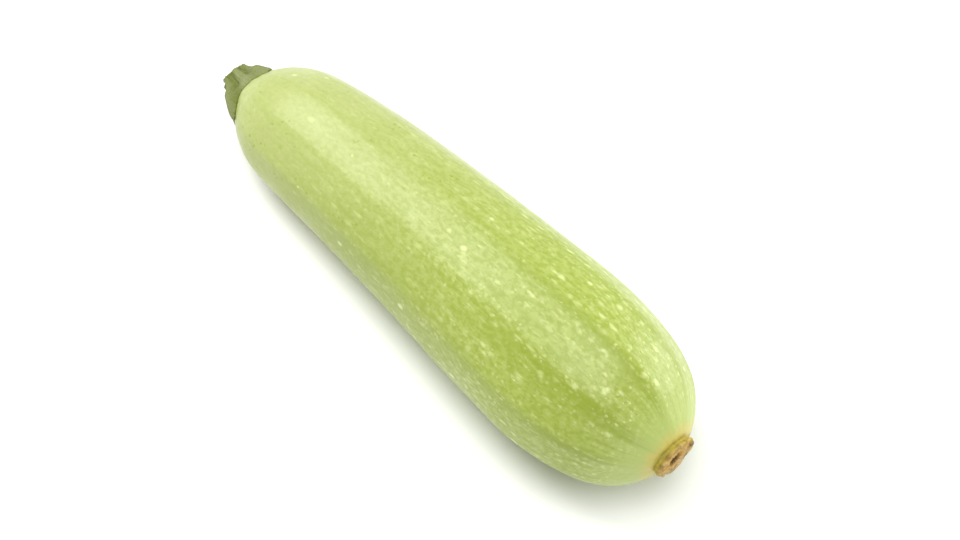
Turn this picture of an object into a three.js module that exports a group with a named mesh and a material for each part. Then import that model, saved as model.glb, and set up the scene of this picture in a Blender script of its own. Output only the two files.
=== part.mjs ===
// A pale green courgette of the short, plump kind, lying on its side.
//
// Millimetres. +X runs along the fruit from the stem to the blossom scar, +Z is up, and
// the origin is under the middle of the whole, in the plane that the fruit rests on.
//
// The fruit is a profile turned about its own length, ridged, bowed a little, and
// flattened underneath where it rests. The stem and the blossom scar sit on its two
// small flat end faces, and the stem's foot reaches over the shoulder beside its own.

import * as THREE from 'three';
import { mergeVertices } from 'three/addons/utils/BufferGeometryUtils.js';

// ---- Driving dimensions ----

const BODY_LENGTH = 220;         // between the fruit's two end faces
const BELLY_RADIUS = 35;         // the fattest place, three quarters of the way along
const NECK_RADIUS = 26.3;        // behind the shoulder that carries the stem
const STEM_SEAT_RADIUS = 11;     // the end face under the stem
const SCAR_SEAT_RADIUS = 9.3;    // the end face under the blossom scar

const REST_SINK = 1.2;           // how far the round underside is pressed flat
const NECK_AXIS_HEIGHT = 25.2;   // the core line's height at the neck
const STEM_AXIS_HEIGHT = 23;     // and at the stem's seat

const BOW = 1.7;                 // sideways bend of the core line, towards +Y
const SWAY = -3.4;               // its lean towards the stem half

const RIDGE_COUNT = 10;          // five main ridges and five between them
const FACET_DEPTH = 0.55;        // how far the skin between two ridges lies below them
const RIDGE_FADE_AT_STEM = 0.1;  // the share of the length over which ridges fade in
const RIDGE_FADE_AT_SCAR = 0.06; // and out again
const FIRST_RIDGE_ANGLE = 9.5;   // degrees about +X, from +Y towards +Z

const STEM_LENGTH = 12;
const STEM_CUT_RADIUS = 6.8;     // over the ridges at the cut end
const STEM_CUT_SLANT = 0.1;      // how much shorter the low side of the cut is, as a share
const STEM_LOW_SIDE = 20;        // the degrees at which that low side lies
const STEM_EDGE = 0.5;           // the bevel round the cut end
const STEM_FOOT_RADIUS = 17.2;   // over the longest lobe of the foot
const STEM_FOOT_THICKNESS = 1.7; // of the lobes' edges
const STEM_HOLLOW = 0.33;        // depth between the ridges, as a share of the radius
const STEM_THINNING = 0.5;       // how much thinner the foot is between its lobes
const STEM_RIDGE_WIDTH = 20;     // degrees from a ridge's crest to about halfway down
const STEM_FOOT_SHARE = 0.25;    // of its length, up to which it has the foot's shape
const STEM_NECK_SHARE = 0.75;    // and from which it has the cut end's

const SCAR_RADIUS = 9.2;         // over its rim
const SCAR_BASE_RADIUS = 8.3;    // where it leaves the fruit
const SCAR_HEIGHT = 2.6;
const SCAR_ROUNDING = 0.6;       // of the rim
const SCAR_DISH = 0.7;           // how far its face lies below the rim near the middle
const SCAR_PIT_RADIUS = 1.8;
const SCAR_PIT_DEPTH = 0.8;

const SEAM_GAP = 0.3;            // clearance between touching pieces
const STEM_SEAT_EDGE = STEM_SEAT_RADIUS + SEAM_GAP / 2; // where the foot turns over the shoulder

// ---- How finely the round surfaces are cut into facets ----

const FRUIT_FACETS_AROUND = 50;  // five to a ridge
const FRUIT_STEPS_A_SPAN = 3;    // between two stations of the profile
const STEM_FACETS_AROUND = 72;
const STEM_STEPS_ALONG = 9;
const STEM_STEPS_UNDER_FOOT = 4;
const SCAR_FACETS_AROUND = 36;
const SCAR_STEPS_AT_EDGE = 3;

// ---- The fruit ----

// The fruit's profile: how far along, as a share of the body length, and the radius there.
const FRUIT_STATIONS = [
  [0.000, STEM_SEAT_RADIUS],
  [0.018, 14.6],
  [0.044, 19.0],
  [0.091, 23.8],
  [0.168, NECK_RADIUS],
  [0.282, 28.4],
  [0.416, 30.5],
  [0.552, 32.5],
  [0.664, 34.2],
  [0.755, BELLY_RADIUS],
  [0.830, 33.9],
  [0.898, 30.5],
  [0.947, 25.0],
  [0.983, 16.1],
  [1.000, SCAR_SEAT_RADIUS],
];

// The core line's height above the rest plane at a few places along the body.
const HEIGHT_STATIONS = [
  [0.000, STEM_AXIS_HEIGHT],
  [0.168, NECK_AXIS_HEIGHT],
  [0.416, 29.4],
  [0.755, BELLY_RADIUS - REST_SINK],
  [1.000, BELLY_RADIUS - REST_SINK],
];

function curveThrough(stations) {
  const points = stations.map(([share, value]) => new THREE.Vector3(share * BODY_LENGTH, value, 0));
  return new THREE.CatmullRomCurve3(points, false, 'centripetal');
}

// Where on a curve something that rises along it reaches a target, found by halving.
function parameterWhere(curve, rising, target, last = 1) {
  let low = 0;
  let high = last;
  for (let step = 0; step < 24; step += 1) {
    const middle = (low + high) / 2;
    if (rising(curve.getPoint(middle)) < target) {
      low = middle;
    } else {
      high = middle;
    }
  }
  return (low + high) / 2;
}

// The value of a station curve at a place along it.
function valueAt(curve, along) {
  return curve.getPoint(parameterWhere(curve, (point) => point.x, along)).y;
}

const profileCurve = curveThrough(FRUIT_STATIONS);
const heightCurve = curveThrough(HEIGHT_STATIONS);
const SHOULDER_SHARE = 0.5;      // of the profile's stations, within which it only widens

// Where the core line runs: sideways it is a shallow bow, straight at both ends.
function coreLineAt(along) {
  const place = (2 * along) / BODY_LENGTH - 1;
  const side = (1 - place * place) * (BOW + SWAY * place);
  return new THREE.Vector3(along, side, valueAt(heightCurve, along));
}

// How far the skin lies below the profile: not at all on a ridge, most between two
// ridges, and not at all where the ridges fade out at the two end faces.
function facetDepthAt(along, angle) {
  const share = along / BODY_LENGTH;
  const fadeIn = THREE.MathUtils.smoothstep(share, 0, RIDGE_FADE_AT_STEM);
  const fadeOut = THREE.MathUtils.smoothstep(1 - share, 0, RIDGE_FADE_AT_SCAR);
  const fromRidge = angle - THREE.MathUtils.degToRad(FIRST_RIDGE_ANGLE);
  return FACET_DEPTH * fadeIn * fadeOut * (0.5 - 0.5 * Math.cos(RIDGE_COUNT * fromRidge));
}

// Turns a profile of (radius, along) points into a closed solid, then puts each of its
// points where `place` says, given how far along it is, its angle and its radius.
function turnedPiece(profile, facetsAround, place) {
  const turned = new THREE.LatheGeometry(profile, facetsAround);
  turned.deleteAttribute('normal');
  turned.deleteAttribute('uv');
  const geometry = mergeVertices(turned, 1e-4);
  const position = geometry.getAttribute('position');
  for (let i = 0; i < position.count; i += 1) {
    const radius = Math.hypot(position.getX(i), position.getZ(i));
    const angle = Math.atan2(position.getX(i), position.getZ(i));
    const point = place(position.getY(i), angle, radius);
    position.setXYZ(i, point.x, point.y, point.z);
  }
  return geometry;
}

function buildFruit() {
  const spans = FRUIT_STATIONS.length - 1;
  const skin = profileCurve.getPoints(spans * FRUIT_STEPS_A_SPAN);
  const profile = [
    new THREE.Vector2(0, 0),
    ...skin.map((point) => new THREE.Vector2(point.y, point.x)),
    new THREE.Vector2(0, BODY_LENGTH),
  ];
  return turnedPiece(profile, FRUIT_FACETS_AROUND, (along, angle, radius) => {
    const ridged = Math.max(radius - facetDepthAt(along, angle), 0);
    const core = coreLineAt(along);
    const height = core.z + ridged * Math.sin(angle);
    return new THREE.Vector3(core.x, core.y + ridged * Math.cos(angle), Math.max(height, 0));
  });
}

// ---- The stem: a short ridged stub whose foot spreads over the shoulder in lobes ----

// Its ridges: degrees at the cut end and at the foot, from +Y towards +Z, then the height
// at the cut end and the reach of the lobe at the foot, as shares of the greatest. Five
// of them carry on the fruit's main ridges and the second is a weak one between.
const STEM_RIDGES = [
  [48, 72, 0.92, 0.50],
  [92, 106, 0.50, 0.08],
  [149, 162, 1.00, 0.93],
  [208, 222, 0.90, 0.80],
  [268, 286, 0.95, 0.90],
  [328, 345, 0.90, 0.80],
];

// 0 at the foot, 1 near the cut end, and a smooth rise between them.
function neckShareAt(share) {
  return THREE.MathUtils.smoothstep(share, STEM_FOOT_SHARE, STEM_NECK_SHARE);
}

// 1 on the crest of the highest ridge, and close to 0 in the hollow between two.
function stemRidgeAt(angle, share) {
  let ridge = 0;
  for (const [atCut, atFoot, height, reach] of STEM_RIDGES) {
    const crest = THREE.MathUtils.lerp(atFoot, atCut, share);
    const fromCrest = THREE.MathUtils.radToDeg(angle) - crest;
    const nearest = fromCrest - 360 * Math.round(fromCrest / 360);
    const tall = THREE.MathUtils.lerp(reach, height, neckShareAt(share));
    ridge = Math.max(ridge, tall * Math.exp(-((nearest / STEM_RIDGE_WIDTH) ** 2)));
  }
  return ridge;
}

// How far along the fruit its shoulder has a given radius, and the step back from there
// that leaves the seam's gap between the shoulder and what lies on it.
function shoulderAt(radius) {
  if (radius <= STEM_SEAT_EDGE) {
    return { along: 0, stepBack: SEAM_GAP };
  }
  const parameter = parameterWhere(profileCurve, (point) => point.y, radius, SHOULDER_SHARE);
  const along = profileCurve.getPoint(parameter).x;
  return { along, stepBack: SEAM_GAP / profileCurve.getTangent(parameter).y };
}

function buildStem() {
  const foot = new THREE.Vector2(STEM_FOOT_RADIUS, STEM_FOOT_THICKNESS);
  const lobe = new THREE.Vector2(STEM_FOOT_RADIUS, STEM_LENGTH / 3);
  const waist = new THREE.Vector2(STEM_CUT_RADIUS, STEM_LENGTH / 2);
  const cut = new THREE.Vector2(STEM_CUT_RADIUS, STEM_LENGTH - STEM_EDGE);
  const flare = new THREE.CubicBezierCurve(foot, lobe, waist, cut);
  const seatEdge = new THREE.Vector2(STEM_SEAT_EDGE, 0);
  const underside = new THREE.LineCurve(seatEdge, new THREE.Vector2(STEM_FOOT_RADIUS, 0));
  const profile = [
    new THREE.Vector2(0, 0),
    ...underside.getPoints(STEM_STEPS_UNDER_FOOT),
    ...flare.getPoints(STEM_STEPS_ALONG),
    new THREE.Vector2(STEM_CUT_RADIUS - STEM_EDGE, STEM_LENGTH),
    new THREE.Vector2(0, STEM_LENGTH),
  ];
  const lowSide = THREE.MathUtils.degToRad(STEM_LOW_SIDE);
  return turnedPiece(profile, STEM_FACETS_AROUND, (out, turnedAngle, radius) => {
    // It runs towards -X, so the profile's own angles are counted the other way round.
    const angle = Math.PI - turnedAngle;
    const share = out / STEM_LENGTH;
    const offRidge = 1 - stemRidgeAt(angle, share);
    const beyondSeat = Math.max(radius - STEM_SEAT_EDGE, 0) / (STEM_FOOT_RADIUS - STEM_SEAT_EDGE);
    const hollowed = out === 0 ? STEM_FOOT_RADIUS * beyondSeat : radius;
    const ridged = radius - hollowed * STEM_HOLLOW * offRidge;

    const thinned = out * (1 - STEM_THINNING * offRidge * (1 - neckShareAt(share)));
    const towardsLowSide = (1 + (ridged * Math.cos(angle - lowSide)) / STEM_CUT_RADIUS) / 2;
    const slant = STEM_CUT_SLANT * towardsLowSide * neckShareAt(share);
    const { along, stepBack } = shoulderAt(ridged);
    const core = coreLineAt(along);
    const x = along - Math.max(stepBack, thinned * (1 - slant));
    return new THREE.Vector3(x, core.y + ridged * Math.cos(angle), core.z + ridged * Math.sin(angle));
  });
}

// ---- The blossom scar: the low corky stub where the flower dropped off ----

function buildBlossomScar() {
  const wall = new THREE.Vector2(SCAR_RADIUS, SCAR_HEIGHT - SCAR_ROUNDING);
  const corner = new THREE.Vector2(SCAR_RADIUS, SCAR_HEIGHT);
  const rim = new THREE.Vector2(SCAR_RADIUS - SCAR_ROUNDING, SCAR_HEIGHT);
  const edge = new THREE.QuadraticBezierCurve(wall, corner, rim);
  const profile = [
    new THREE.Vector2(0, SEAM_GAP),
    new THREE.Vector2(SCAR_BASE_RADIUS, SEAM_GAP),
    ...edge.getPoints(SCAR_STEPS_AT_EDGE),
    new THREE.Vector2(SCAR_PIT_RADIUS, SCAR_HEIGHT - SCAR_DISH),
    new THREE.Vector2(0, SCAR_HEIGHT - SCAR_DISH - SCAR_PIT_DEPTH),
  ];
  const seat = coreLineAt(BODY_LENGTH);
  return turnedPiece(profile, SCAR_FACETS_AROUND, (along, angle, radius) => new THREE.Vector3(
    BODY_LENGTH + along,
    seat.y + radius * Math.cos(angle),
    seat.z + radius * Math.sin(angle),
  ));
}

// ---- The whole ----

function namedPiece(name, geometry, colour, roughness) {
  geometry.computeVertexNormals();
  const material = new THREE.MeshStandardMaterial({ color: colour, roughness, metalness: 0 });
  const piece = new THREE.Mesh(geometry, material);
  piece.name = name;
  return piece;
}

const courgette = new THREE.Group();
courgette.add(
  namedPiece('fruit', buildFruit(), 0xb9cd69, 0.3),
  namedPiece('stem', buildStem(), 0x828c50, 0.75),
  namedPiece('blossom_scar', buildBlossomScar(), 0xc79a50, 0.8),
);

// The origin goes under the middle of the whole.
const middle = new THREE.Box3().setFromObject(courgette).getCenter(new THREE.Vector3());
courgette.position.set(-middle.x, -middle.y, 0);
courgette.updateMatrixWorld(true);

export default courgette;
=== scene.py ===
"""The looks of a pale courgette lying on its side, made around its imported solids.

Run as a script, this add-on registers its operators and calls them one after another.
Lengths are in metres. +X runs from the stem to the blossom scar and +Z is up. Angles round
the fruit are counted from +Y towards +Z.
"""

import math
from contextlib import contextmanager

import bpy
import numpy as np
from mathutils import Matrix, Vector, noise


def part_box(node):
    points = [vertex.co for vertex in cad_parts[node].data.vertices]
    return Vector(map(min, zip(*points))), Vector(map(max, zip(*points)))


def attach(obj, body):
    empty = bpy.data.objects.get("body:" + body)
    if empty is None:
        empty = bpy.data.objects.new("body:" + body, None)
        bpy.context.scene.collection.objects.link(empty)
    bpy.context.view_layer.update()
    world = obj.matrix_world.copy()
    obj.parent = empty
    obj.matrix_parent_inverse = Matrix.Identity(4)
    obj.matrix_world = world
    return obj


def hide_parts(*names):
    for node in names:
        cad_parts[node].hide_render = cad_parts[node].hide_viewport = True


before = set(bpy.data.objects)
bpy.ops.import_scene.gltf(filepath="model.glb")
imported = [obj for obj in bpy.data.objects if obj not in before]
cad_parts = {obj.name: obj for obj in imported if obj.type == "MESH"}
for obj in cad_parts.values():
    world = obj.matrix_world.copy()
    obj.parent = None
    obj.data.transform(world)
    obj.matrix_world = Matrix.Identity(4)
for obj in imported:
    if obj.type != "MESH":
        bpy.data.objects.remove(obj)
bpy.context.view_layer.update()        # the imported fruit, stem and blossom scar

bl_info = {
    "name": "Courgette",
    "version": (1, 0, 0),
    "blender": (4, 5, 0),
    "location": "3D View > Sidebar > Courgette",
    "description": "Models the skin, stem and blossom scar of a pale courgette",
    "category": "Object",
}

FRUIT_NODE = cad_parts["fruit"]
STEM_SEAT_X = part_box("fruit")[0].x
SCAR_SEAT_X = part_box("fruit")[1].x
BODY_LENGTH = SCAR_SEAT_X - STEM_SEAT_X
STEM_CUT_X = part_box("stem")[0].x
STEM_LENGTH = STEM_SEAT_X - STEM_CUT_X
SCAR_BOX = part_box("blossom_scar")
SCAR_HEIGHT = SCAR_BOX[1].x - SCAR_SEAT_X
SCAR_RADIUS = (SCAR_BOX[1].y - SCAR_BOX[0].y) / 2

# How often every piece is subdivided.
SMOOTHING = 2

# How round the crests of the fruit's ridges are, as a share of the dip between two.
RIDGE_ROUNDING = 0.4

# The dark lines beside the fruit's ridges, partly the skin's own darker green and partly
# painted shade on one side of each crest: how far off the crest, and half their width, as
# shares of the way from one ridge to the next.
LINE_OFFSET, LINE_HALF_WIDTH = 0.10, 0.12

# Greener bands of the skin, partly its own colour and partly painted shade: degrees round
# the fruit and half-width, the share of its length where they are strongest and half their
# length, then how green they are.
GREEN_AND_SHADE_BANDS = ((125, 10, 0.84, 0.14, 0.60), (168, 28, 0.38, 0.25, 0.62))

# Pale flecks of the skin: the faintest and the strongest, then what their speckles are like.
FLECKS = (
    (0.35, 0.90, {"Stretch": 0.55, "Scale": 240.0, "Size": 0.42, "Share": 0.50, "Softness": 0.80}),
    (0.20, 0.85, {"Stretch": 0.60, "Scale": 340.0, "Size": 0.55, "Share": 0.80, "Softness": 0.85}),
    (0.10, 0.55, {"Stretch": 0.70, "Scale": 640.0, "Size": 0.62, "Share": 0.95, "Softness": 0.85}),
    (0.15, 0.80, {"Stretch": 0.28, "Scale": 520.0, "Size": 0.50, "Share": 0.85, "Softness": 0.85}),
)

# The stem's ridges: degrees from +Y towards +Z at the cut end and at the foot, then their
# height at the cut end and their reach over the shoulder, as shares of the greatest, and
# how much paler they are, partly drier wood and partly painted highlight.
STEM_RIDGES = (
    (48, 72, 0.92, 0.50, 0.62), (92, 106, 0.50, 0.08, 0.85), (149, 162, 1.00, 0.93, 0.62),
    (208, 222, 0.90, 0.80, 0.75), (268, 286, 0.95, 0.90, 0.70), (328, 345, 0.90, 0.80, 0.75),
)

# Half their width in degrees at the foot, and how much less it is at the cut end.
STEM_RIDGE_WIDTH, STEM_RIDGE_TAPER = 22, 3

# The hollows between them: places along the stem, and their depth there as a share of the
# radius.
STEM_HOLLOWS = ((0, 0.3, 0.5, 0.8, 1), (0.32, 0.34, 0.36, 0.32, 0.26))

# The slant of the cut: where its low side lies in degrees, and how much shorter that is.
CUT_LOW_SIDE, CUT_SLANT = 20, 0.1

# How far the torn fibres stand up from the cut.
CUT_ROUGHNESS = 0.0005

# The dried ends of the petals round the blossom scar: degrees, and how dark each is.
PETAL_ENDS = (
    (6, 1.0), (58, 0.45), (86, 0.45), (120, 0.7), (150, 0.6), (172, 0.35), (200, 0.5), (262, 0.5),
    (318, 0.7),
)

# The worn side of the scar's face: its middle in degrees, half its width in radians, and
# how much narrower the face is there.
WORN_SIDE, WORN_HALF_WIDTH, WORN_DEPTH = 205, 0.7, 0.15

# Lengths on the scar: how far it reaches into the fruit, the unevenness of its rim, the drop
# of the rim at the gaps between petals, and the coarse grit of the cork.
SCAR_ROOT, RIM_WEAR, PETAL_GAP, GRIT = 0.001, 0.0003, 0.0004, 0.0002


# ---- What a user would change ----


def length_field(name, description, default):
    return bpy.props.FloatProperty(
        name=name, description=description, default=default, unit="LENGTH", precision=5)


def angle_field(name, description, degrees):
    return bpy.props.FloatProperty(
        name=name, description=description, default=math.radians(degrees), subtype="ANGLE")


def share_field(name, description, default):
    return bpy.props.FloatProperty(
        name=name, description=description, default=default, min=0, max=1, subtype="FACTOR")


def power_field(name, description, default):
    return bpy.props.FloatProperty(
        name=name, description=description, default=default, min=0, subtype="POWER")


def point_field(name, description, default):
    return bpy.props.FloatVectorProperty(
        name=name, description=description, default=default, size=3, subtype="TRANSLATION")


def colour_field(name, description, default):
    return bpy.props.FloatVectorProperty(
        name=name, description=description, default=default, size=3, min=0, max=1, subtype="COLOR")


class FruitSettings(bpy.types.PropertyGroup):
    sides_a_facet: bpy.props.IntProperty(
        name="Sides a facet", description="Mesh faces across each flat of the skin",
        default=8, min=4)
    ridge_count: bpy.props.IntProperty(
        name="Ridges", description="Lengthwise ridges, main and minor", default=10, min=3)
    first_ridge: angle_field(
        "First ridge", "Where the first main ridge runs, from +Y towards +Z", 9.5)
    facet_depth: length_field(
        "Facet depth", "How far the skin between two ridges lies below them", 0.0009)
    minor_softness: share_field(
        "Minor softness", "How much lower the minor ridges are than the main ones", 0.4)
    ridge_wander: angle_field("Ridge wander", "How far a ridge strays from a straight line", 1.6)
    lump_height: length_field(
        "Lump height", "Height of the broad, soft unevenness of the skin", 0.0007)
    lump_width: length_field("Lump width", "Width of the same", 0.03)


class StemSettings(bpy.types.PropertyGroup):
    sides: bpy.props.IntProperty(
        name="Sides", description="Mesh faces round the stem", default=96, min=40)
    cut_radius: length_field("Cut radius", "Radius over the ridges at the cut end", 0.0068)
    foot_radius: length_field("Foot radius", "Radius over the foot's lobes", 0.0172)
    fibre_depth: length_field("Fibre depth", "Depth of the lines between its fibres", 0.00022)


class ScarSettings(bpy.types.PropertyGroup):
    sides: bpy.props.IntProperty(
        name="Sides", description="Mesh faces round the scar", default=96, min=24)
    raggedness: share_field("Raggedness", "How uneven the scar's outline is", 0.06)
    crease_depth: length_field(
        "Crease depth", "Depth of the creases that run to the middle", 0.0003)
    pit_offset: length_field(
        "Pit offset", "How far below the middle of the scar its pit lies", 0.0004)


class SkinColours(bpy.types.PropertyGroup):
    # The skin is paler towards the stem end and darker on the thick half: partly its own colour,
    # partly painted light and shade.
    belly: colour_field("Belly", "Skin of the thick half", (0.422, 0.509, 0.122))
    neck: colour_field("Neck", "Paler skin of the stem half", (0.498, 0.555, 0.214))
    # Line serves the skin's own darker streaks and specks, and also the painted shade beside the
    # ridges and in the bands.
    line: colour_field(
        "Line", "Darker green between the flecks and beside the ridges", (0.275, 0.350, 0.032))
    fleck: colour_field("Fleck", "Pale flecks", (0.680, 0.745, 0.310))
    cap: colour_field("Cap", "Paler skin round the blossom end", (0.460, 0.560, 0.150))
    halo: colour_field("Halo", "Yellowed skin round the blossom scar", (0.650, 0.510, 0.105))
    scab: colour_field(
        "Scab", "Brown blotches where the skin meets the scar", (0.300, 0.220, 0.035))


class WoodyColours(bpy.types.PropertyGroup):
    # The stem's own green, darker in the hollows between the ridges as painted shade; the ridges
    # paler, partly drier wood and partly painted highlight.
    stem: colour_field("Stem", "Green of the stem between its ridges", (0.135, 0.165, 0.025))
    stem_ridge: colour_field("Stem ridge", "Paler, drier ridges of the stem", (0.275, 0.305, 0.125))
    cut: colour_field("Cut", "Pith on the cut end", (0.470, 0.460, 0.230))
    cut_ring: colour_field("Cut ring", "Dried ring round the pith", (0.300, 0.235, 0.095))
    cork: colour_field("Cork", "Face of the blossom scar", (0.630, 0.415, 0.075))
    cork_pale: colour_field(
        "Pale cork", "Paler, pinkish patches of its face", (0.650, 0.465, 0.215))
    cork_inner: colour_field("Inner cork", "Browner cork round the pit", (0.500, 0.275, 0.050))
    # The olive band under the rim: partly the cork's own colour, partly painted shade under the
    # rim.
    cork_edge: colour_field(
        "Cork edge", "Olive band under the rim of the scar", (0.500, 0.390, 0.070))
    cork_foot: colour_field("Cork foot", "Yellowed foot of the scar's wall", (0.500, 0.435, 0.090))
    # Dark cork for the pit, the dried petal ends and specks, and painted shade in the creases.
    cork_dark: colour_field("Dark cork", "Pit, creases and dried petal ends", (0.085, 0.048, 0.010))


class StageSettings(bpy.types.PropertyGroup):
    view_azimuth: angle_field("View azimuth", "Camera's turn from looking along +Y", 45.6)
    view_elevation: angle_field("View elevation", "Camera's height above the horizon", 61.6)
    view_distance: length_field("View distance", "From the camera to what it looks at", 0.8847)
    look_at: point_field(
        "Look at", "Point in the middle of the picture", (0.01252, 0.00618, 0.02741))
    lens: bpy.props.FloatProperty(
        name="Lens", description="Focal length in millimetres, on the sensor below", default=90)
    sensor: bpy.props.FloatProperty(
        name="Sensor", description="Width of the sensor in millimetres", default=36)
    floor: colour_field("Floor", "Colour of the floor", (0.92, 0.92, 0.92))
    floor_size: length_field("Floor size", "Side of the square floor", 16)
    sky: bpy.props.FloatProperty(
        name="Sky", description="Strength of the white light from all round", default=0.36)
    top_strength: bpy.props.FloatProperty(
        name="Top strength", description="Strength of the soft light from above", default=1.85)
    top_spread: angle_field("Top spread", "How wide the top light looks from the object", 35)
    top_from: bpy.props.FloatVectorProperty(
        name="Top from", description="Direction that the top light comes from",
        default=(0.05, -0.09, 1.0), size=3, subtype="XYZ")
    key_power: power_field("Key power", "Strength of the soft light over the stem end", 4.00)
    key_width: length_field("Key width", "Its width, across the fruit", 0.44)
    key_length: length_field("Key length", "Its length, along the fruit", 0.55)
    key_place: point_field("Key place", "Where it hangs", (-0.47, -0.05, 0.70))
    key_aim: point_field("Key aim", "What it faces", (0, 0, 0.05))
    side_power: power_field("Side power", "Strength of the low strip beside the blossom end", 0.62)
    side_width: length_field("Side width", "Length of the strip, along the floor", 0.26)
    side_length: length_field("Side length", "Height of the strip", 0.11)
    side_place: point_field("Side place", "Where the strip stands", (0.200, 0.280, 0.100))
    side_aim: point_field("Side aim", "What the strip faces", (0.095, 0.005, 0.045))
    fill_power: power_field("Fill power", "Strength of the weak light before the blossom end", 0.10)
    fill_width: length_field("Fill width", "Its width", 0.20)
    fill_length: length_field("Fill length", "Its height", 0.20)
    fill_place: point_field("Fill place", "Where it stands", (0.27, -0.30, 0.13))
    fill_aim: point_field("Fill aim", "What it faces", (0.075, -0.01, 0.03))


# ---- Tools of the bench: modelling ----


@contextmanager
def editing(piece):
    """Edit mode on one piece, with nothing else selected."""
    bpy.ops.object.select_all(action="DESELECT")
    piece.select_set(True)
    bpy.context.view_layer.objects.active = piece
    bpy.ops.object.mode_set(mode="EDIT")
    yield
    bpy.ops.object.mode_set(mode="OBJECT")


def pick_vertices(piece, chosen):
    """Selects the vertices that an array of truths names, and no others."""
    mesh = piece.data
    mesh.edges.foreach_set("select", np.zeros(len(mesh.edges), bool))
    mesh.polygons.foreach_set("select", np.zeros(len(mesh.polygons), bool))
    mesh.vertices.foreach_set("select", chosen)


def points_of(piece):
    """Every vertex of a mesh, one row each."""
    flat = np.empty(len(piece.data.vertices) * 3)
    piece.data.vertices.foreach_get("co", flat)
    return flat.reshape(-1, 3)


def draw_out(name, rings, sides, turn=0.0):
    """Draws a round end face out through rings of (centre, radius) into a closed solid."""
    bpy.ops.object.select_all(action="DESELECT")
    centre, radius = rings[0]
    bpy.ops.mesh.primitive_circle_add(vertices=sides, radius=radius, fill_type="TRIFAN")
    piece = bpy.context.object
    piece.name = name
    faced = Matrix.Rotation(turn, 4, "X") @ Matrix.Rotation(math.pi / 2, 4, "Y")
    piece.matrix_world = Matrix.Translation(centre) @ faced
    bpy.ops.object.transform_apply(location=True, rotation=True, scale=True)
    with editing(piece):
        bpy.ops.mesh.select_all(action="SELECT")
        for next_centre, next_radius in rings[1:]:
            bpy.ops.mesh.extrude_region_move(TRANSFORM_OT_translate={"value": next_centre - centre})
            growth = next_radius / radius
            bpy.ops.transform.resize(value=(1, growth, growth), center_override=next_centre)
            centre, radius = next_centre, next_radius
        bpy.ops.mesh.select_all(action="SELECT")
        bpy.ops.mesh.normals_make_consistent(inside=False)
    return piece


def smooth_out(piece):
    """Subdivides a piece into a smooth skin."""
    finish_with(piece, "SUBSURF", levels=SMOOTHING, render_levels=SMOOTHING)
    bpy.ops.object.shade_smooth()


def finish_with(piece, kind, **choices):
    """Adds a modifier with the given choices and applies it."""
    bpy.ops.object.select_all(action="DESELECT")
    piece.select_set(True)
    bpy.context.view_layer.objects.active = piece
    modifier = piece.modifiers.new(kind.title(), kind)
    for choice, value in choices.items():
        setattr(modifier, choice, value)
    bpy.ops.object.modifier_apply(modifier=modifier.name)


def weigh(piece, name, weights):
    """Paints a vertex group, one weight to a vertex."""
    group = piece.vertex_groups.new(name=name)
    for index, weight in enumerate(weights):
        group.add([index], float(weight), "REPLACE")


def carve(piece, place_points):
    """Moves every vertex to where place_points puts it, as a last pass with a fine tool."""
    piece.data.vertices.foreach_set("co", place_points(points_of(piece)).ravel())
    piece.data.update()


def remember(piece, name, values):
    """Stores a value or a vector for each vertex, for the materials to read."""
    values = np.asarray(values, float)
    kind, field = ("FLOAT", "value") if values.ndim == 1 else ("FLOAT_VECTOR", "vector")
    layer = piece.data.attributes.new(name, kind, "POINT")
    layer.data.foreach_set(field, values.ravel())


def hand_over(piece, node, material):
    """Dresses a finished piece and lets it stand for its CAD node."""
    piece.data.materials.clear()
    piece.data.materials.append(material)
    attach(piece, "root")
    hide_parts(node)


def soft_step(value, low, high):
    """0 below low and 1 above high, with a smooth rise between."""
    t = np.clip((value - low) / (high - low), 0, 1)
    return t * t * (3 - 2 * t)


def bell(value, middle, half_width):
    """1 at the middle, with a smooth fall to 0 on both sides."""
    return np.exp(-(((value - middle) / half_width) ** 2))


def bell_round(angle, middle, half_width):
    """The same round a circle, with the middle in degrees and the rest in radians."""
    return bell((angle - math.radians(middle) + math.pi) % math.tau, math.pi, half_width)


def ripple(angle, frequency, seed):
    """Smooth noise between about -1 and 1 that closes on itself round a circle."""
    return np.array([
        noise.noise(Vector((math.cos(a) * frequency, math.sin(a) * frequency, seed))) * 2
        for a in np.atleast_1d(angle)])


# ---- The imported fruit, read as a stack of rings ----


def fruit_rings():
    """Centre and radius over the ridges of each cross-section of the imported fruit."""
    points = points_of(FRUIT_NODE)
    places = np.round(points[:, 0], 5)
    rings = []
    for x in np.unique(places):
        ring = points[places == x]
        low, high = ring.min(0), ring.max(0)
        half_width = (high[1] - low[1]) / 2
        centre = Vector((x, (low[1] + high[1]) / 2, high[2] - half_width))
        upper = ring[ring[:, 2] > centre.z]
        radius = np.hypot(upper[:, 1] - centre.y, upper[:, 2] - centre.z).max()
        rings.append((centre, float(radius)))
    return rings


RINGS = fruit_rings()
RING_X = np.array([centre.x for centre, _ in RINGS])
RING_Y = np.array([centre.y for centre, _ in RINGS])
RING_Z = np.array([centre.z for centre, _ in RINGS])
RING_RADIUS = np.array([radius for _, radius in RINGS])
RING_ARC = np.concatenate([[0], np.cumsum(np.hypot(np.diff(RING_X), np.diff(RING_RADIUS)))])
SKIN_LENGTH = float(RING_ARC[-1])
BELLY_RADIUS = float(RING_RADIUS.max())
STEM_SEAT, SCAR_SEAT = RINGS[0][0], RINGS[-1][0]
SHOULDER_RINGS = 12      # from the stem's seat, over which the fruit only widens


def round_the_core(points):
    """Each point's angle round the core line, and its offset from it."""
    across = points[:, 1] - np.interp(points[:, 0], RING_X, RING_Y)
    above = points[:, 2] - np.interp(points[:, 0], RING_X, RING_Z)
    return np.arctan2(above, across), across, above


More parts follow.
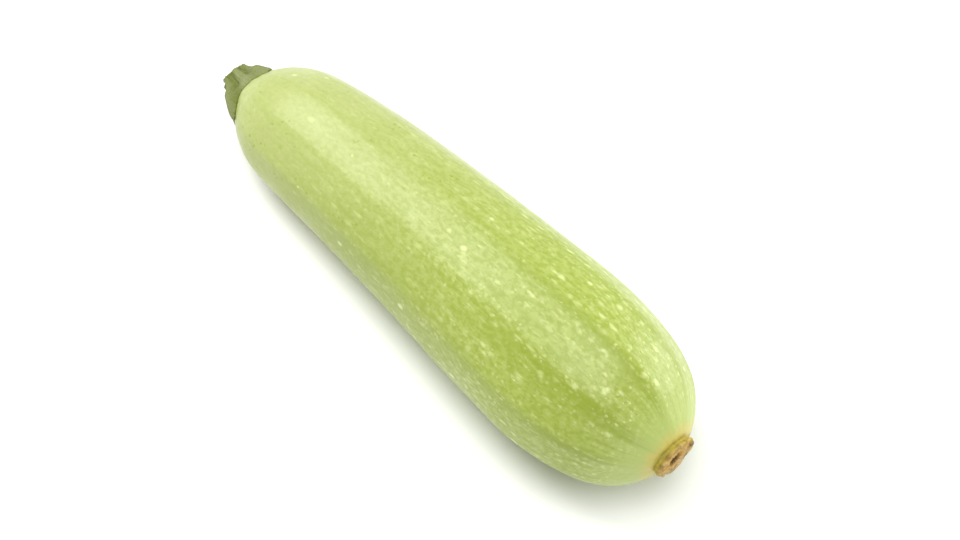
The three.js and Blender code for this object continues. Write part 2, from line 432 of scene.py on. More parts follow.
def about_seat(points, seat, facing):
    """How far out from a seat each point is, and its angle and radius about the seat."""
    across, above = points[:, 1] - seat.y, points[:, 2] - seat.z
    return (points[:, 0] - seat.x) * facing, np.arctan2(above, across), np.hypot(across, above)


def ridge_phase(points, settings):
    """How many ridges round the fruit each point lies, with the ridges' slow wander."""
    angle = round_the_core(points)[0]
    drift = np.array([noise.noise(Vector((x * 14, 3.7, 0))) for x in points[:, 0]])
    turn = angle - settings.first_ridge - drift * 2 * settings.ridge_wander
    return turn * settings.ridge_count / math.tau


def facet_dip(points, settings):
    """0 on a ridge and 1 midway between two, with the profile of a many-sided prism."""
    phase = ridge_phase(points, settings)
    half_facet = math.pi / settings.ridge_count
    off_middle = (phase - np.floor(phase) - 0.5) * 2 * half_facet
    flat = math.cos(half_facet)
    sharp_dip = (1 - flat / np.cos(off_middle)) / (1 - flat)
    full_dip = math.hypot(1, RIDGE_ROUNDING) - RIDGE_ROUNDING
    dip = (np.hypot(sharp_dip, RIDGE_ROUNDING) - RIDGE_ROUNDING) / full_dip
    on_minor = np.mod(np.round(phase), 2)
    softened = dip + (1 - dip) * settings.minor_softness * on_minor
    # The flats are deeper at the belly and the shoulder, and fade towards the end faces.
    share = (points[:, 0] - STEM_SEAT_X) / BODY_LENGTH
    strength = 0.75 + 0.5 * soft_step(share, 0.55, 0.9) + 0.3 * soft_step(0.25 - share, 0, 0.2)
    at_ends = 0.35 + 0.65 * soft_step(share, 0, 0.12) * soft_step(1 - share, 0, 0.05)
    radius = np.interp(points[:, 0], RING_X, RING_RADIUS)
    return np.clip(softened * strength * at_ends * radius / BELLY_RADIUS, 0, 2) / 2


def petal_ends(angle):
    """How strongly the dried end of a petal marks each angle round the scar."""
    marks = np.zeros(len(angle))
    for middle, strength in PETAL_ENDS:
        half_width = 0.12 + 0.12 * strength
        marks = np.maximum(marks, strength * bell_round(angle, middle, half_width))
    return marks


# ---- Tools of the bench: shading ----


def add(tree, kind, inputs=None, **choices):
    """Adds a node, sets its choices and feeds its inputs from numbers or other sockets."""
    node = tree.nodes.new(kind)
    for choice, value in choices.items():
        setattr(node, choice, value)
    for key, value in (inputs or {}).items():
        if isinstance(value, bpy.types.NodeSocket):
            tree.links.new(value, node.inputs[key])
        else:
            node.inputs[key].default_value = value
    return node


def reckon(tree, operation, first, second, clamp=False):
    inputs = {0: first, 1: second}
    return add(tree, "ShaderNodeMath", inputs, operation=operation, use_clamp=clamp).outputs[0]


def times(tree, first, second):
    return reckon(tree, "MULTIPLY", first, second)


def less(tree, first, second):
    return reckon(tree, "SUBTRACT", first, second)


def summed(tree, start, *terms):
    """A start with (value, weight) terms added to it."""
    for value, weight in terms:
        start = reckon(tree, "ADD", start, times(tree, value, weight))
    return start


def ramp(tree, value, low, high, start=0.0, end=1.0):
    """A smooth step from start to end as a value goes from low to high."""
    inputs = {"Value": value, "From Min": low, "From Max": high, "To Min": start, "To Max": end}
    return add(tree, "ShaderNodeMapRange", inputs, interpolation_type="SMOOTHSTEP").outputs[0]


def coated(tree, colour, *coats):
    """Lays coats over a colour in turn: a colour, a mask and a share of full strength."""
    for over, mask, share in coats:
        amount = mask if share == 1 else times(tree, mask, share)
        node = add(tree, "ShaderNodeMix", {0: amount}, data_type="RGBA")
        for key, value in ((6, colour), (7, over)):   # A and B of a colour mix
            if isinstance(value, bpy.types.NodeSocket):
                tree.links.new(value, node.inputs[key])
            else:
                node.inputs[key].default_value = (*value[:3], 1)
        colour = node.outputs[2]
    return colour


def attribute(tree, name, output="Fac"):
    return add(tree, "ShaderNodeAttribute", attribute_name=name).outputs[output]


def new_group(name, inputs, outputs):
    """A shader node group with float inputs, a Place vector and float outputs."""
    group = bpy.data.node_groups.new(name, "ShaderNodeTree")
    group.interface.new_socket("Place", in_out="INPUT", socket_type="NodeSocketVector")
    for label, default in inputs.items():
        socket = group.interface.new_socket(label, in_out="INPUT", socket_type="NodeSocketFloat")
        socket.default_value = default
    for label in outputs:
        group.interface.new_socket(label, in_out="OUTPUT", socket_type="NodeSocketFloat")
    return group, add(group, "NodeGroupInput"), add(group, "NodeGroupOutput")


def stretched(group, source):
    """The group's Place, with its first axis scaled by Stretch."""
    scale = add(group, "ShaderNodeCombineXYZ", {"X": source.outputs["Stretch"], "Y": 1.0, "Z": 1.0})
    inputs = {0: source.outputs["Place"], 1: scale.outputs[0]}
    return add(group, "ShaderNodeVectorMath", inputs, operation="MULTIPLY").outputs[0]


def contrasted(group, value, source):
    """A value pushed away from a half by the group's Contrast, and kept between 0 and 1."""
    strong = times(group, less(group, value, 0.5), source.outputs["Contrast"])
    return reckon(group, "ADD", strong, 0.5, clamp=True)


def lengthwise_grain():
    """Noise drawn out along the growth of a piece: skin streaks, fibres and creases."""
    group, source, sink = new_group(
        "lengthwise_grain",
        {"Stretch": 0.1, "Scale": 100.0, "Detail": 3.0, "Contrast": 1.0},
        ["Value"])
    inputs = {"Vector": stretched(group, source), "Scale": source.outputs["Scale"],
              "Detail": source.outputs["Detail"], "Roughness": 0.55}
    grain = add(group, "ShaderNodeTexNoise", inputs, noise_dimensions="3D").outputs[0]
    group.links.new(contrasted(group, grain, source), sink.inputs["Value"])
    return group


def speckles():
    """Scattered small spots of uneven size: flecks of the skin, pits and bristle marks."""
    group, source, sink = new_group(
        "speckles",
        {"Stretch": 1.0, "Scale": 300.0, "Size": 0.3, "Softness": 0.5, "Share": 0.5,
         "Wobble": 0.55},
        ["Mask", "Shade"])
    place = stretched(group, source)
    finer = times(group, source.outputs["Scale"], 2.2)
    wobble = add(group, "ShaderNodeTexNoise", {"Vector": place, "Scale": finer, "Detail": 1.0})
    bend = add(group, "ShaderNodeVectorMath", {0: wobble.outputs["Color"], 1: (0.5, 0.5, 0.5)},
               operation="SUBTRACT")
    sway = reckon(group, "DIVIDE", source.outputs["Wobble"], source.outputs["Scale"])
    bent = add(group, "ShaderNodeVectorMath", {0: bend.outputs[0], "Scale": sway},
               operation="SCALE")
    moved = add(group, "ShaderNodeVectorMath", {0: place, 1: bent.outputs[0]}, operation="ADD")
    inputs = {"Vector": moved.outputs[0], "Scale": source.outputs["Scale"]}
    cells = add(group, "ShaderNodeTexVoronoi", inputs, feature="F1", voronoi_dimensions="3D")
    chance = add(group, "ShaderNodeSeparateColor", {0: cells.outputs["Color"]})
    uneven = ramp(group, chance.outputs[0], 0.0, 1.0, 0.45, 1.0)
    reach = times(group, source.outputs["Size"], uneven)
    core = times(group, reach, less(group, 1.0, source.outputs["Softness"]))
    spot = ramp(group, cells.outputs["Distance"], reach, core)
    present = reckon(group, "LESS_THAN", chance.outputs[1], source.outputs["Share"])
    group.links.new(times(group, spot, present), sink.inputs["Mask"])
    group.links.new(chance.outputs[2], sink.inputs["Shade"])
    return group


def mottle():
    """Slow, soft variation of tone from place to place."""
    group, source, sink = new_group("mottle", {"Scale": 40.0, "Contrast": 1.0}, ["Value"])
    inputs = {"Vector": source.outputs["Place"], "Scale": source.outputs["Scale"], "Detail": 2.0}
    cloud = add(group, "ShaderNodeTexNoise", inputs, noise_dimensions="3D").outputs[0]
    group.links.new(contrasted(group, cloud, source), sink.inputs["Value"])
    return group


def shared_group(maker):
    """The node group that a maker makes, made once."""
    return bpy.data.node_groups.get(maker.__name__) or maker()


def effect(tree, maker, place, output=None, **inputs):
    """Puts a shared group into a material with its own values."""
    node = add(tree, "ShaderNodeGroup", node_tree=shared_group(maker))
    tree.links.new(place, node.inputs["Place"])
    for label, value in inputs.items():
        node.inputs[label].default_value = value
    return node.outputs[output] if output else node.outputs


def uneven_speckles(tree, place, faintest, strongest, look):
    """Speckles whose strength differs from one to the next."""
    spots = effect(tree, speckles, place, **look)
    return times(tree, spots["Mask"], ramp(tree, spots["Shade"], 0.0, 1.0, faintest, strongest))


def new_material(name, constants):
    """A material with only a Principled shader, wired to its output."""
    material = bpy.data.materials.new(name)
    material.use_nodes = True
    tree = material.node_tree
    tree.nodes.clear()
    shader = add(tree, "ShaderNodeBsdfPrincipled", constants)
    surface = add(tree, "ShaderNodeOutputMaterial")
    tree.links.new(shader.outputs[0], surface.inputs["Surface"])
    return material, tree, shader


def relief(tree, shader, height, distance):
    """Lets a height raise the surface by up to a distance."""
    bump = add(tree, "ShaderNodeBump", {"Strength": 1.0, "Distance": distance, "Height": height})
    tree.links.new(bump.outputs[0], shader.inputs["Normal"])


# ---- Materials ----


def skin_material(colours):
    """Waxy pale green skin, crowded with paler flecks in rows along its length."""
    material, tree, shader = new_material("courgette_skin", {
        "IOR": 1.42, "Subsurface Weight": 0.12, "Subsurface Radius": (0.9, 1.0, 0.3),
        "Subsurface Scale": 0.002, "Coat Weight": 0.15, "Coat Roughness": 0.22})
    place = attribute(tree, "skin_place", "Vector")
    lines = attribute(tree, "skin_lines", "Vector")
    along = add(tree, "ShaderNodeSeparateXYZ", {0: place}).outputs["X"]
    from_scar = attribute(tree, "from_scar")

    tone = effect(tree, mottle, place, "Value", Scale=52.0, Contrast=1.7)
    waves = effect(tree, mottle, place, "Value", Scale=115.0, Contrast=1.0)
    rows = effect(tree, lengthwise_grain, lines, "Value", Stretch=1.8, Scale=13.0, Contrast=2.6)
    grains = effect(tree, lengthwise_grain, place, "Value", Stretch=0.6, Scale=620.0, Contrast=3.0)
    fine = effect(tree, lengthwise_grain, place, "Value", Stretch=0.45, Scale=2200.0, Contrast=2.6)
    pores = effect(tree, speckles, place, "Mask",
                   Stretch=0.8, Scale=480.0, Size=0.38, Share=0.5, Softness=0.45)

    # The flecks crowd in rows on the thick half and are few beside the scar.
    crowd = ramp(tree, along, 0.05 * SKIN_LENGTH, 0.78 * SKIN_LENGTH, 0.22, 1.0)
    thin_out = ramp(tree, from_scar, 0.006, 0.022, 0.15, 1.0)
    spread = times(tree, crowd, thin_out)
    marks = 0.0
    for faintest, strongest, look in FLECKS:
        flecks = uneven_speckles(tree, place, faintest, strongest, look)
        marks = reckon(tree, "MAXIMUM", marks, flecks)
    marks = times(tree, times(tree, marks, spread), ramp(tree, rows, 0.25, 0.72, 0.25, 1.0))
    lone = uneven_speckles(tree, place, 0.35, 0.90, {
        "Stretch": 0.75, "Scale": 125.0, "Size": 0.20, "Share": 1.0, "Softness": 0.7,
        "Wobble": 0.15})
    marks = reckon(tree, "MAXIMUM", marks, times(tree, lone, thin_out))

    # Rays of paler and then yellowed skin run out from the scar, past a ragged brown seam.
    rays = times(tree, less(tree, rows, 0.5), 0.012)
    by_end = ramp(tree, less(tree, from_scar, rays), 0.030, 0.006)
    by_scar = ramp(tree, less(tree, from_scar, times(tree, rays, 0.4)), 0.0085, 0.0005)
    ragged = times(tree, attribute(tree, "petal_end"), ramp(tree, tone, 0.2, 0.8, 0.0003, 0.0015))
    seam = ramp(tree, less(tree, from_scar, ragged), 0.0009, -0.0009)

    skin = coated(
        tree, colours.neck,
        # Darker towards the thick half and paler towards the stem end: partly the skin's own
        # colour, partly painted light and shade.
        (colours.belly, ramp(tree, along, 0.15 * SKIN_LENGTH, 0.75 * SKIN_LENGTH), 1),
        (colours.line, tone, 0.26),
        (colours.line, times(tree, ramp(tree, rows, 0.55, 0.0), crowd), 0.26),
        (colours.fleck, times(tree, ramp(tree, rows, 0.55, 1.0), crowd), 0.18),
        (colours.line, times(tree, ramp(tree, grains, 0.15, 0.9), spread), 0.70),
        # Painted shade, partly the skin's own green: dark lines beside the ridges, a darker ring
        # near the blossom end and the bands.
        (colours.line, attribute(tree, "line_shade"), 1),
        (colours.line, times(tree, pores, ramp(tree, tone, 0.40, 0.80, 0.15, 0.75)), 1),
        (colours.line, fine, 0.16),
        (colours.cap, by_end, 0.85),
        (colours.fleck, marks, 1),
        (colours.halo, by_scar, 0.8),
        (colours.scab, seam, 0.75))
    tree.links.new(skin, shader.inputs["Base Color"])
    rough = summed(tree, 0.31, (tone, 0.20), (marks, -0.08))
    tree.links.new(rough, shader.inputs["Roughness"])
    ribbed = times(tree, summed(tree, 0.0, (grains, 0.45), (rows, 0.3)), crowd)
    relief(tree, shader, summed(tree, ribbed, (marks, 1.0), (fine, 0.12), (waves, 2.2)), 0.00016)
    return material


def stem_material(colours):
    """Dark green woody stem with paler ridges and a dried, fibrous cut."""
    material, tree, shader = new_material("courgette_stem", {"Specular IOR Level": 0.25})
    place = attribute(tree, "stem_place", "Vector")
    fibres = effect(tree, lengthwise_grain, place, "Value",
                    Stretch=0.12, Scale=1500.0, Contrast=2.2)
    tone = effect(tree, mottle, place, "Value", Scale=260.0, Contrast=2.0)
    marks = effect(tree, speckles, place, "Mask", Stretch=0.7, Scale=1200.0, Size=0.35, Share=0.3)

    pith = coated(
        tree, colours.cut,
        (colours.cut_ring, ramp(tree, fibres, 0.45, 0.85), 0.55),
        (colours.cork_dark, marks, 0.5),
        (colours.cut_ring, attribute(tree, "cut_ring"), 0.75))
    wood = coated(
        tree, colours.stem,
        # Paler ridges and darker hollows: partly the stem's own colour, partly painted highlight
        # and shade.
        (colours.stem_ridge, ramp(tree, attribute(tree, "ridge"), 0.10, 1.0), 1),
        (colours.stem, ramp(tree, fibres, 0.4, 0.9), 0.5),
        (colours.stem_ridge, tone, 0.35),
        (colours.stem_ridge, marks, 0.5),
        (pith, attribute(tree, "cut_face"), 1))
    tree.links.new(wood, shader.inputs["Base Color"])
    tree.links.new(summed(tree, 0.5, (fibres, 0.25)), shader.inputs["Roughness"])
    relief(tree, shader, summed(tree, fibres, (marks, -0.4)), 0.0002)
    return material


def scar_material(colours):
    """Corky tan scar with an olive wall, fine creases and a dark pit in the middle."""
    material, tree, shader = new_material("courgette_blossom_scar", {"Specular IOR Level": 0.25})
    place = attribute(tree, "scar_place", "Vector")
    grain = effect(tree, lengthwise_grain, place, "Value", Stretch=1.0, Scale=900.0, Contrast=2.4)
    tone = effect(tree, mottle, place, "Value", Scale=380.0, Contrast=3.0)
    pits = effect(tree, speckles, place, "Mask", Stretch=1.0, Scale=1100.0, Size=0.4, Share=0.35)

    above = add(tree, "ShaderNodeSeparateXYZ", {0: place}).outputs["Z"]
    pinker = summed(tree, ramp(tree, above, 0.004, -0.006, 0.0, 0.6), (tone, 0.6))
    cork = coated(
        tree, colours.cork,
        (colours.cork_pale, pinker, 1),
        (colours.cork_inner, ramp(tree, grain, 0.45, 0.95), 0.35),
        (colours.cork_inner, attribute(tree, "inner"), 0.8),
        (colours.cork_dark, pits, 0.3),
        # Olive band under the rim, partly painted shade.
        (colours.cork_edge, attribute(tree, "rim"), 1),
        (colours.cork_foot, attribute(tree, "foot"), 1),
        # Painted shade in the creases.
        (colours.cork_dark, attribute(tree, "crease"), 0.3),
        (colours.cork_dark, attribute(tree, "pit"), 0.9),
        (colours.cork_dark, attribute(tree, "petal_end"), 0.85))
    tree.links.new(cork, shader.inputs["Base Color"])
    tree.links.new(summed(tree, 0.65, (grain, 0.2)), shader.inputs["Roughness"])
    relief(tree, shader, less(tree, grain, pits), 0.00018)
    return material


def floor_material(settings):
    """Plain matt white floor."""
    constants = {"Base Color": (*settings.floor, 1), "Roughness": 0.9, "Specular IOR Level": 0.1}
    return new_material("studio_floor", constants)[0]


# ---- Pieces ----


class COURGETTE_OT_fruit(bpy.types.Operator):
    """Models the fruit: a ridged, slightly uneven body, flattened where it rests"""

    bl_idname = "courgette.fruit"
    bl_label = "Fruit"
    bl_options = {"REGISTER", "UNDO"}

    def execute(self, context):
        settings = context.scene.courgette_fruit
        sides = settings.sides_a_facet * settings.ridge_count
        fruit = draw_out("courgette_fruit", RINGS, sides, settings.first_ridge)
        weigh(fruit, "facets", facet_dip(points_of(fruit), settings))
        smooth_out(fruit)
        finish_with(fruit, "DISPLACE", vertex_group="facets", mid_level=0,
                    strength=-2 * settings.facet_depth)
        lumps = bpy.data.textures.new("lumps", "CLOUDS")
        lumps.noise_scale = settings.lump_width
        lumps.noise_depth = 1
        finish_with(fruit, "DISPLACE", texture=lumps, texture_coords="LOCAL",
                    mid_level=0.62, strength=settings.lump_height)
        self.press_flat(fruit)
        self.note_places(fruit, settings)
        hand_over(fruit, "fruit", skin_material(context.scene.courgette_skin))
        return {"FINISHED"}

    def press_flat(self, fruit):
        """Presses what lies below the floor flat against it."""
        pick_vertices(fruit, points_of(fruit)[:, 2] < 0)
        with editing(fruit):
            bpy.ops.transform.resize(value=(1, 1, 0), center_override=(0, 0, 0))

    def note_places(self, fruit, settings):
        """Notes for the skin how far along and round the fruit each point is."""
        points = points_of(fruit)
        angle, across, above = round_the_core(points)
        arc = np.interp(points[:, 0], RING_X, RING_ARC)
        greener = self.greener(ridge_phase(points, settings), angle, arc / SKIN_LENGTH)
        remember(fruit, "skin_place", np.column_stack([arc, across, above]))
        remember(fruit, "skin_lines", np.column_stack([arc, np.cos(angle), np.sin(angle)]))
        remember(fruit, "line_shade", greener)
        remember(fruit, "from_scar", SKIN_LENGTH - arc)
        remember(fruit, "petal_end", petal_ends(angle))

    def greener(self, phase, angle, share):
        """How much darker green the skin is in the lines beside the ridges, in a ring near the
        blossom end and in its bands: partly its own colour, partly painted shade.
        """
        line = bell(phase - np.round(phase), LINE_OFFSET, LINE_HALF_WIDTH)
        strength = 0.08 + 0.5 * soft_step(share, 0.5, 0.8) + 0.4 * bell(share, 0.86, 0.07)
        strength = strength * (1 - 0.6 * soft_step(share, 0.91, 0.97))
        # A darker ring all round near the blossom end, partly painted shade.
        clear = (1 - 0.22 * bell(share, 0.865, 0.05)) * (1 - line * strength)
        for middle, half_width, centre, reach, depth in GREEN_AND_SHADE_BANDS:
            band = bell_round(angle, middle, math.radians(half_width))
            clear = clear * (1 - depth * band * bell(share, centre, reach))
        return 1 - clear


class COURGETTE_OT_stem(bpy.types.Operator):
    """Models the stem: uneven ridges that flare into lobes which hug the shoulder"""

    bl_idname = "courgette.stem"
    bl_label = "Stem"
    bl_options = {"REGISTER", "UNDO"}

    def execute(self, context):
        settings = context.scene.courgette_stem
        stem = draw_out("courgette_stem", self.rings(settings), settings.sides)
        smooth_out(stem)
        carve(stem, lambda points: self.carved(points, settings))
        self.note_places(stem, settings)
        hand_over(stem, "stem", stem_material(context.scene.courgette_woody))
        return {"FINISHED"}

    def rings(self, settings):
        """From under the foot, round the edge of a lobe and up its ridge to the dished cut."""
        cut, foot = settings.cut_radius, settings.foot_radius
        stations = [
            (-0.05, foot * 0.50), (-0.05, foot * 0.80), (-0.05, foot * 0.93), (0.0, foot * 0.975),
            (0.06, foot), (0.14, foot), (0.20, foot * 0.985), (0.245, foot * 0.95),
            (0.29, foot * 0.90), (0.34, foot * 0.84), (0.395, foot * 0.77), (0.45, foot * 0.69),
            (0.51, foot * 0.61), (0.58, foot * 0.54), (0.66, cut * 1.22), (0.76, cut * 1.09),
            (0.85, cut * 1.01), (0.92, cut * 0.98), (0.965, cut), (0.99, cut * 0.99),
            (1.0, cut * 0.93), (0.992, cut * 0.84), (0.975, cut * 0.66), (0.955, cut * 0.42),
            (0.94, cut * 0.2),
        ]
        return [(STEM_SEAT - Vector((share * STEM_LENGTH, 0, 0)), radius)
                for share, radius in stations]

    def ridge_at(self, angle, share):
        """How high the ridges are and how much paler, partly painted highlight: 1 on a full
        ridge, 0 in the hollow between.
        """
        high, pale = np.zeros(len(angle)), np.zeros(len(angle))
        half_width = np.radians(STEM_RIDGE_WIDTH - STEM_RIDGE_TAPER * share)
        for at_cut, at_foot, height, reach, pale_and_lit_share in STEM_RIDGES:
            near = bell_round(angle - np.radians((at_cut - at_foot) * share), at_foot, half_width)
            high = np.maximum(high, near * np.interp(share, (0.25, 0.7), (reach, height)))
            pale = np.maximum(pale, near * pale_and_lit_share)
        return high, pale

    def carved(self, points, settings):
        """Hollows the stem between its ridges, frays it finely and lays the foot down."""
        out, angle, radius = about_seat(points, STEM_SEAT, -1)
        share = np.clip(out / STEM_LENGTH, 0, 1)
        above_foot = soft_step(share, 0.25, 0.75)
        ridge = self.ridge_at(angle, share)[0]
        on_side = soft_step(radius, settings.cut_radius * 0.3, settings.cut_radius * 0.9)
        hollow = np.interp(share, *STEM_HOLLOWS)
        uneven = 1 + 0.03 * ripple(angle, 1.3, 5.2) * on_side
        fibre = np.array([
            noise.noise(Vector((o * 90, math.cos(a) * 11, math.sin(a) * 11)))
            + 0.5 * noise.noise(Vector((o * 200, math.cos(a) * 26, math.sin(a) * 26)))
            for o, a in zip(out, angle)])
        radius = radius * (1 - hollow * (1 - ridge) * on_side) * uneven
        radius = radius + fibre * 2 * settings.fibre_depth * on_side
        flatter = 1 - 0.5 * (1 - ridge) * (1 - above_foot)
        towards_low_side = radius * np.cos(angle - math.radians(CUT_LOW_SIDE)) / settings.cut_radius
        slanted = 1 - CUT_SLANT * (1 + towards_low_side) / 2 * above_foot
        out = out * flatter * slanted
        hug = np.interp(radius, RING_RADIUS[:SHOULDER_RINGS], RING_X[:SHOULDER_RINGS]) - STEM_SEAT_X
        rough = fibre * CUT_ROUGHNESS * soft_step(share, 0.9, 1.0)
        x = np.maximum(STEM_SEAT_X - out + hug + rough, STEM_CUT_X)
        core_y, core_z = np.interp(x, RING_X, RING_Y), np.interp(x, RING_X, RING_Z)
        return np.column_stack([
            x, core_y + radius * np.cos(angle), core_z + radius * np.sin(angle)])

    def note_places(self, stem, settings):
        """Notes for the wood where its ridges and its cut face are."""
        points = points_of(stem)
        out, angle, radius = about_seat(points, STEM_SEAT, -1)
        share = np.clip(out / STEM_LENGTH, 0, 1)
        ridge, pale = self.ridge_at(angle, share)
        rim = settings.cut_radius * (1 - STEM_HOLLOWS[1][-1] * (1 - ridge))
        within = radius / rim + 0.06 * ripple(angle, 4.0, 6.6)
        on_cut = soft_step(share, 0.84, 0.93)
        remember(stem, "stem_place", (points - np.array(STEM_SEAT)) * (-1, 1, 1))
        # The ridges' paleness, partly painted highlight.
        remember(stem, "ridge", pale)
        remember(stem, "cut_face", on_cut * (1 - soft_step(within, 0.80, 0.95)))
        remember(stem, "cut_ring", on_cut * soft_step(within, 0.50, 0.80))


class COURGETTE_OT_scar(bpy.types.Operator):
    """Models the blossom scar: a low corky stub with a ragged rim and a dished face"""

    bl_idname = "courgette.blossom_scar"
    bl_label = "Blossom scar"
    bl_options = {"REGISTER", "UNDO"}

    def execute(self, context):
        settings = context.scene.courgette_scar
        scar = draw_out("courgette_blossom_scar", self.rings(), settings.sides)
        smooth_out(scar)
        carve(scar, lambda points: self.carved(points, settings))
        self.note_places(scar, settings)
        hand_over(scar, "blossom_scar", scar_material(context.scene.courgette_woody))
        return {"FINISHED"}

    def rings(self):
        """From inside the fruit's end, up the rim and down the dish to the pit."""
        stations = [
            (-SCAR_ROOT / SCAR_HEIGHT, 0.84), (0.0, 0.88), (0.18, 0.905), (0.38, 0.945),
            (0.56, 0.98), (0.72, 1.0), (0.85, 0.995), (0.93, 0.97), (0.95, 0.93), (0.93, 0.85),
            (0.89, 0.74), (0.86, 0.64), (0.85, 0.53), (0.84, 0.43), (0.79, 0.34), (0.66, 0.27),
            (0.46, 0.19), (0.30, 0.11), (0.25, 0.04),
        ]
        return [(SCAR_SEAT + Vector((tall * SCAR_HEIGHT, 0, 0)), SCAR_RADIUS * share)
                for tall, share in stations]

    def creases(self, angle, radius):
        """1 in the bottom of a crease, 0 between creases, fading towards the rim."""
        lines = np.array([
            noise.noise(Vector((math.cos(a) * 3.4, math.sin(a) * 3.4, r * 320 + 9)))
            for a, r in zip(angle, radius)])
        share = radius / SCAR_RADIUS
        sharp = 1 - soft_step(np.abs(lines), 0.0, 0.16)
        return sharp * soft_step(share, 0.12, 0.3) * soft_step(0.93 - share, 0, 0.2)

    def carved(self, points, settings):
        """Wears the rim, presses in the creases and lowers the pit."""
        out, angle, radius = about_seat(points, SCAR_SEAT, 1)
        share = radius / SCAR_RADIUS
        outline = sum(height * ripple(angle, frequency, seed) for height, frequency, seed in
                      ((0.5, 1.1, 2.2), (0.5, 3.2, 7.1), (0.25, 9.0, 3.3)))
        gaps = (0.5 - 0.5 * np.cos(5 * angle + 0.8)) ** 4      # one between each two petals
        by_rim = soft_step(share, 0.55, 0.9)
        worn = (ripple(angle, 2.6, 11.0) * RIM_WEAR - gaps * PETAL_GAP) * by_rim
        grit = GRIT * np.array([
            noise.noise(Vector(p * 900)) + 0.6 * noise.noise(Vector(p * 2100)) for p in points])
        crease = self.creases(angle, radius) * settings.crease_depth
        on_face = soft_step(out, 0.0002, 0.001)
        out = np.minimum(out + (worn + grit - crease) * on_face, SCAR_HEIGHT)
        high_up = soft_step(out / SCAR_HEIGHT, 0.2, 0.9)
        worn_side = bell_round(angle, WORN_SIDE, WORN_HALF_WIDTH) * high_up
        radius = radius * (1 + settings.raggedness * outline * soft_step(share, 0.2, 0.8))
        radius = radius * (1 - WORN_DEPTH * worn_side)
        lower = settings.pit_offset * (1 - soft_step(share, 0.1, 0.75)) * on_face
        return np.column_stack([
            SCAR_SEAT.x + out, SCAR_SEAT.y + radius * np.cos(angle),
            SCAR_SEAT.z + radius * np.sin(angle) - lower])

    def note_places(self, scar, settings):
        """Notes for the cork where its pit, creases, wall and petal ends are."""
        points = points_of(scar)
        out, angle, radius = about_seat(points, SCAR_SEAT, 1)
        share, tall = radius / SCAR_RADIUS, out / SCAR_HEIGHT
        place = points - np.array(SCAR_SEAT)
        tall_oval = np.hypot(place[:, 1], (place[:, 2] + settings.pit_offset) * 0.8) / SCAR_RADIUS
        wander = 0.10 * ripple(angle, 2.6, 4.4) + 0.06 * ripple(angle, 8.0, 8.4)
        on_wall = soft_step(share, 0.6, 0.8)
        on_rim = soft_step(share, 0.55, 0.82) * soft_step(tall, 0.25, 0.5)
        remember(scar, "scar_place", place)
        remember(scar, "crease", self.creases(angle, radius))
        remember(scar, "pit", 1 - soft_step(tall_oval, 0.15, 0.35))
        remember(scar, "inner", 1 - soft_step(share, 0.22, 0.62))
        remember(scar, "rim", on_wall * (1 - soft_step(tall + wander, 0.62, 0.82)))
        remember(scar, "foot", on_wall * (1 - soft_step(tall + 0.5 * wander, 0.20, 0.45)))
        remember(scar, "petal_end", petal_ends(angle) * on_rim)


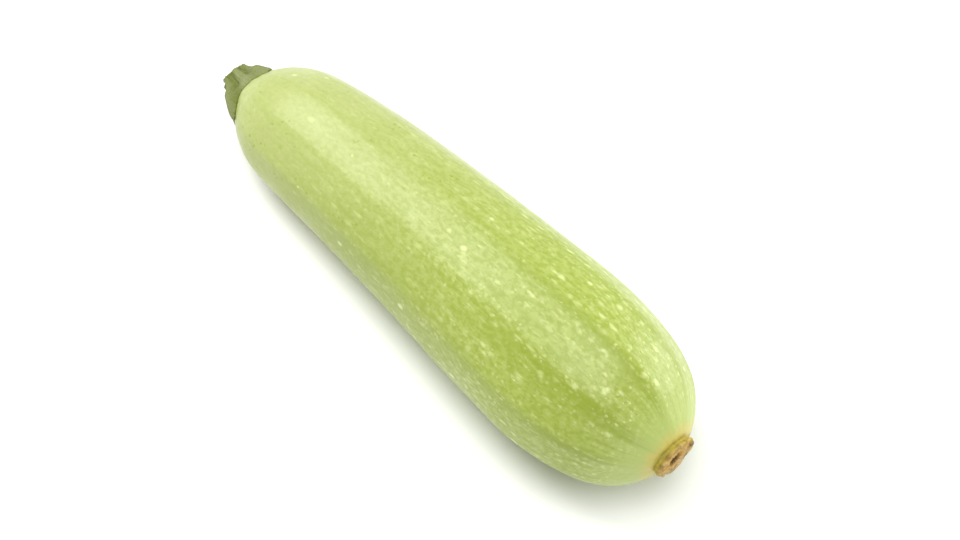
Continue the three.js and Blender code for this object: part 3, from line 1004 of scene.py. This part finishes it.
class COURGETTE_OT_stage(bpy.types.Operator):
    """Sets the white floor, the soft lights and the camera"""

    bl_idname = "courgette.stage"
    bl_label = "Stage"
    bl_options = {"REGISTER", "UNDO"}

    def execute(self, context):
        settings = context.scene.courgette_stage
        self.add_floor(settings)
        self.add_sky(context.scene, settings)
        self.add_top_light(settings)
        for name in ("key", "side", "fill"):
            width, length, power, place, aim = (
                getattr(settings, f"{name}_{field}")
                for field in ("width", "length", "power", "place", "aim"))
            self.add_soft_box(name + "_light", Vector(place), Vector(aim), width, length, power)
        self.add_camera(context.scene, settings)
        context.scene.view_settings.view_transform = "Standard"
        return {"FINISHED"}

    def add_floor(self, settings):
        bpy.ops.object.select_all(action="DESELECT")
        bpy.ops.mesh.primitive_plane_add(size=settings.floor_size)
        floor = bpy.context.object
        floor.name = "studio_floor"
        floor.data.materials.append(floor_material(settings))

    def add_sky(self, scene, settings):
        world = bpy.data.worlds.new("studio")
        world.use_nodes = True
        world.node_tree.nodes["Background"].inputs["Color"].default_value = (1, 1, 1, 1)
        world.node_tree.nodes["Background"].inputs["Strength"].default_value = settings.sky
        scene.world = world

    def add_top_light(self, settings):
        towards = Vector(settings.top_from)
        bpy.ops.object.light_add(type="SUN", rotation=towards.to_track_quat("Z", "Y").to_euler())
        top = bpy.context.object
        top.name = "top_light"
        top.data.energy = settings.top_strength
        top.data.angle = settings.top_spread

    def add_soft_box(self, name, place, aim, width, length, power):
        """A soft box that faces its aim, with its length in the upright plane through both."""
        turn = (place - aim).to_track_quat("Z", "Y").to_euler()
        bpy.ops.object.light_add(type="AREA", location=place, rotation=turn)
        box = bpy.context.object
        box.name = name
        box.data.shape = "RECTANGLE"
        box.data.size = width
        box.data.size_y = length
        box.data.energy = power

    def add_camera(self, scene, settings):
        turn, lift = settings.view_azimuth, settings.view_elevation
        level, up = math.cos(lift), math.sin(lift)
        back = Vector((math.sin(turn) * level, -math.cos(turn) * level, up))
        place = Vector(settings.look_at) + back * settings.view_distance
        bpy.ops.object.camera_add(location=place, rotation=back.to_track_quat("Z", "Y").to_euler())
        camera = bpy.context.object
        camera.name = "camera"
        camera.data.lens = settings.lens
        camera.data.sensor_width = settings.sensor
        camera.data.clip_end = 100
        scene.camera = camera


class COURGETTE_PT_sidebar(bpy.types.Panel):
    """Lists the pieces and the stage in the sidebar"""

    bl_idname = "COURGETTE_PT_sidebar"
    bl_label = "Courgette"
    bl_space_type = "VIEW_3D"
    bl_region_type = "UI"
    bl_category = "Courgette"

    def draw(self, context):
        for operator in OPERATORS:
            self.layout.operator(operator.bl_idname)
        for name in SETTINGS:
            box = self.layout.box()
            group = getattr(context.scene, name)
            for field in group.bl_rna.properties:
                if not field.is_readonly and field.identifier != "name":
                    box.prop(group, field.identifier)


SETTINGS = {
    "courgette_fruit": FruitSettings,
    "courgette_stem": StemSettings,
    "courgette_scar": ScarSettings,
    "courgette_skin": SkinColours,
    "courgette_woody": WoodyColours,
    "courgette_stage": StageSettings,
}
OPERATORS = (COURGETTE_OT_fruit, COURGETTE_OT_stem, COURGETTE_OT_scar, COURGETTE_OT_stage)


def register():
    for name, group in SETTINGS.items():
        bpy.utils.register_class(group)
        setattr(bpy.types.Scene, name, bpy.props.PointerProperty(type=group))
    for made in (*OPERATORS, COURGETTE_PT_sidebar):
        bpy.utils.register_class(made)


def unregister():
    for made in (COURGETTE_PT_sidebar, *reversed(OPERATORS)):
        bpy.utils.unregister_class(made)
    for name, group in reversed(SETTINGS.items()):
        delattr(bpy.types.Scene, name)
        bpy.utils.unregister_class(group)


def main():
    register()
    bpy.ops.courgette.fruit()
    bpy.ops.courgette.stem()
    bpy.ops.courgette.blossom_scar()
    bpy.ops.courgette.stage()


if __name__ == "__main__":
    main()
